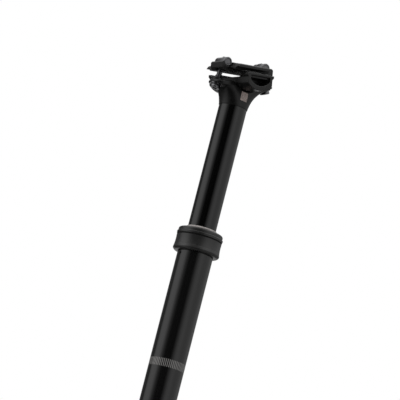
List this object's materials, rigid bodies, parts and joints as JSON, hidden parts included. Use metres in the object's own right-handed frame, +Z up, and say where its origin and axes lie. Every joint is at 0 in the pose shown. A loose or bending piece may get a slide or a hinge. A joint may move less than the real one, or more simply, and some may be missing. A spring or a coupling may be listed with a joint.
{
  "type": "dropper seatpost",
  "caption": "Height-adjustable bicycle seatpost: sliding black post in an outer tube with collar, two-bolt saddle clamp head and a cable-operated release foot.",
  "frame": {"origin": "on the post axis, on the underside of the collar, which is the insertion stop of the shank", "axes": "+Z up along the post axis, +X to the front of the bicycle, +Y to its left"},
  "size_m": [0.0621, 0.0576, 0.3711],
  "materials": {
    "tube_black": "satin black anodised",
    "collar_black": "matte black",
    "wiper_pale": "pale grey",
    "seal_rubber": "black rubber",
    "bushing_grey": "grey bearing polymer",
    "foot_black": "black anodised",
    "rod_chrome": "hard chrome",
    "bolt_steel": "dark zinc plated",
    "brass": "machined",
    "post_black": "glossy black hard anodised",
    "head_black": "matte black, forged",
    "cartridge_alloy": "bare alloy",
    "clamp_black": "matte black, forged",
    "lever_alloy": "grey alloy"
  },
  "bodies": {
    "lower_post": {"outer_tube": "tube_black", "collar": "collar_black", "wiper_ring": "wiper_pale", "oil_seal": "seal_rubber", "upper_bushing": "bushing_grey", "foot_housing": "foot_black", "piston_rod": "rod_chrome", "rod_nut": "bolt_steel", "bottom_bumper": "seal_rubber", "piston": "brass", "piston_seal": "seal_rubber", "lever_pin": "bolt_steel"},
    "upper_post": {"sliding_post": "post_black", "seat_head": "head_black", "lower_bushing": "bushing_grey", "guide_keys": "brass", "cartridge_tube": "cartridge_alloy", "cartridge_cap": "cartridge_alloy", "cartridge_gland": "cartridge_alloy", "rod_seal": "seal_rubber", "circlip": "bolt_steel", "top_out_bumper": "seal_rubber", "front_bolt": "bolt_steel", "rear_bolt": "bolt_steel", "front_washer": "bolt_steel", "rear_washer": "bolt_steel"},
    "saddle_clamp": {"lower_cradle": "clamp_black", "upper_clamp": "clamp_black"},
    "front_barrel": {"front_nut": "bolt_steel"},
    "rear_barrel": {"rear_nut": "bolt_steel"},
    "release": {"release_lever": "lever_alloy", "cable_barrel": "brass", "barrel_screw": "bolt_steel"},
    "valve": {"release_pin": "rod_chrome", "valve_poppet": "brass"},
    "floater": {"floating_piston": "cartridge_alloy", "floating_seal": "seal_rubber"}
  },
  "joints": [
    {"name": "post_travel", "type": "slide", "parent": "lower_post", "child": "upper_post", "axis": [0, 0, 1], "range_m": [-0.1, 0], "stiffness_N_per_m": 300, "springref_m": 0.05},
    {"name": "clamp_tilt", "type": "hinge", "parent": "upper_post", "child": "saddle_clamp", "pos_m": [0.00038, 0, 0.16806], "axis": [0, 1, 0], "range_deg": [-8, 8]},
    {"name": "front_nut_turn", "type": "hinge", "parent": "saddle_clamp", "child": "front_barrel", "pos_m": [0.02194, 0, 0.1699], "axis": [0, 1, 0], "range_deg": [-8, 8]},
    {"name": "rear_nut_turn", "type": "hinge", "parent": "saddle_clamp", "child": "rear_barrel", "pos_m": [-0.01875, 0, 0.17818], "axis": [0, 1, 0], "range_deg": [-8, 8]},
    {"name": "lever_swing", "type": "hinge", "parent": "lower_post", "child": "release", "pos_m": [0.0036, 0, -0.1685], "axis": [0, 1, 0], "range_deg": [0, 30], "stiffness_Nm_per_rad": 0.3},
    {"name": "pin_lift", "type": "slide", "parent": "lower_post", "child": "valve", "axis": [0, 0, 1], "range_m": [0, 0.00178]},
    {"name": "float_slide", "type": "slide", "parent": "upper_post", "child": "floater", "axis": [0, 0, 1], "range_m": [0, 0.0286]}
  ],
  "couplings": [
    {"joint": "front_nut_turn", "follows": "clamp_tilt", "ratio": -1},
    {"joint": "rear_nut_turn", "follows": "clamp_tilt", "ratio": -1},
    {"joint": "float_slide", "follows": "post_travel", "ratio": -0.28444},
    {"joint": "lever_swing", "follows": "pin_lift", "rad_per_m": 294.12}
  ]
}
